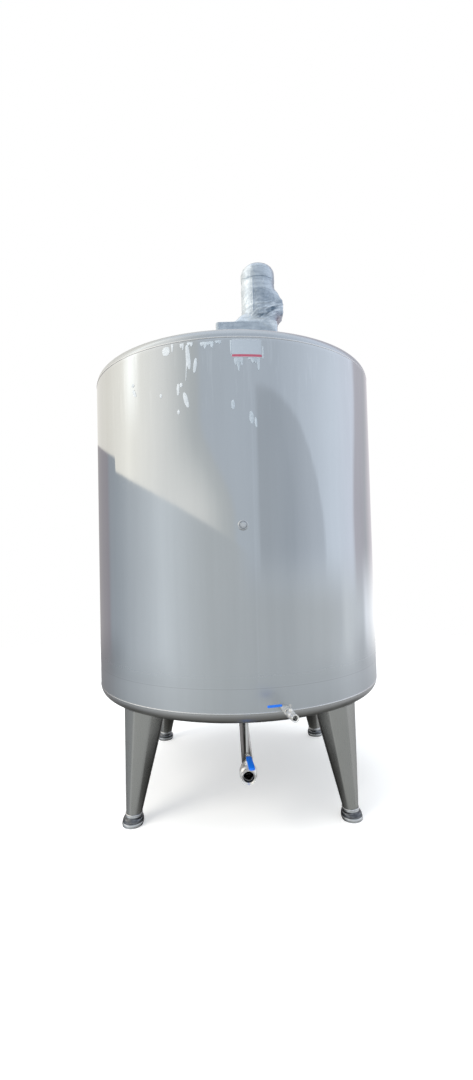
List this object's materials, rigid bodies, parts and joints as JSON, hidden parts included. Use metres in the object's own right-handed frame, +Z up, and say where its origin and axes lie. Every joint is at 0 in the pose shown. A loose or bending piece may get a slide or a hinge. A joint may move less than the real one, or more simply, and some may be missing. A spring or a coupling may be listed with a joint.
{
  "type": "liquid mixing tank",
  "caption": "Upright round stainless steel mixing tank with cone ends on tapered legs, film-wrapped gear motor on top, front drain pipe with ball valve and a small sample valve.",
  "frame": {"origin": "on the floor, at the middle of the whole footprint; the tank's axis is 66.5 mm behind it (+Y), because the valves reach out in front", "axes": "+Z up along the tank's axis, -Y towards the front with the drain and sample valves, +X to the right seen from the front"},
  "size_m": [1.8, 1.9332, 3.469],
  "materials": {
    "shell_steel": "fine mill finish, softly reflecting",
    "leg_steel": "brushed sheet with polished folds",
    "polished_steel": "mirror polished stainless steel",
    "cast_steel": "cast stainless steel, tumbled",
    "blue_grip": "dipped vinyl grip",
    "drive_paint": "blue-grey machine paint",
    "stretch_film": "clear stretch film in many layers",
    "plate_white": "printed aluminium plate, bare"
  },
  "bodies": {
    "vessel": {"shell_front": "shell_steel", "shell_front_right": "shell_steel", "shell_back_right": "shell_steel", "shell_back": "shell_steel", "shell_back_left": "shell_steel", "shell_front_left": "shell_steel", "top_head": "shell_steel", "bottom_head": "shell_steel", "lid_pad": "shell_steel", "leg_front_left": "leg_steel", "foot_front_left": "polished_steel", "leg_front_right": "leg_steel", "foot_front_right": "polished_steel", "leg_back_right": "leg_steel", "foot_back_right": "polished_steel", "leg_back_left": "leg_steel", "foot_back_left": "polished_steel", "drive_pedestal": "drive_paint", "gear_housing": "drive_paint", "motor_adapter": "drive_paint", "motor_body": "drive_paint", "fan_cowl": "drive_paint", "terminal_box": "drive_paint", "film_wrap": "stretch_film", "drain_nozzle": "polished_steel", "drain_elbow": "polished_steel", "drain_pipe": "polished_steel", "drain_valve_body": "cast_steel", "hanger_rod": "cast_steel", "hanger_nut": "cast_steel", "sample_nipple": "cast_steel", "sample_valve_body": "cast_steel", "sensor_socket": "cast_steel", "sensor_plug": "cast_steel", "label_plate": "plate_white"},
    "drain_handle": {"drain_ball": "polished_steel", "drain_stem": "polished_steel", "drain_lever": "cast_steel", "drain_lever_nut": "polished_steel", "drain_grip": "blue_grip"},
    "sample_handle": {"sample_ball": "polished_steel", "sample_stem": "polished_steel", "sample_lever": "cast_steel", "sample_lever_nut": "polished_steel", "sample_grip": "blue_grip"}
  },
  "joints": [
    {"name": "drain_valve", "type": "hinge", "parent": "vessel", "child": "drain_handle", "pos_m": [0.03535, -0.69838, 0.335], "axis": [0, 0, 1], "range_deg": [-90, 0]},
    {"name": "sample_valve", "type": "hinge", "parent": "vessel", "child": "sample_handle", "pos_m": [0.24078, -0.89924, 0.691], "axis": [0, 0, 1], "range_deg": [0, 90]}
  ]
}
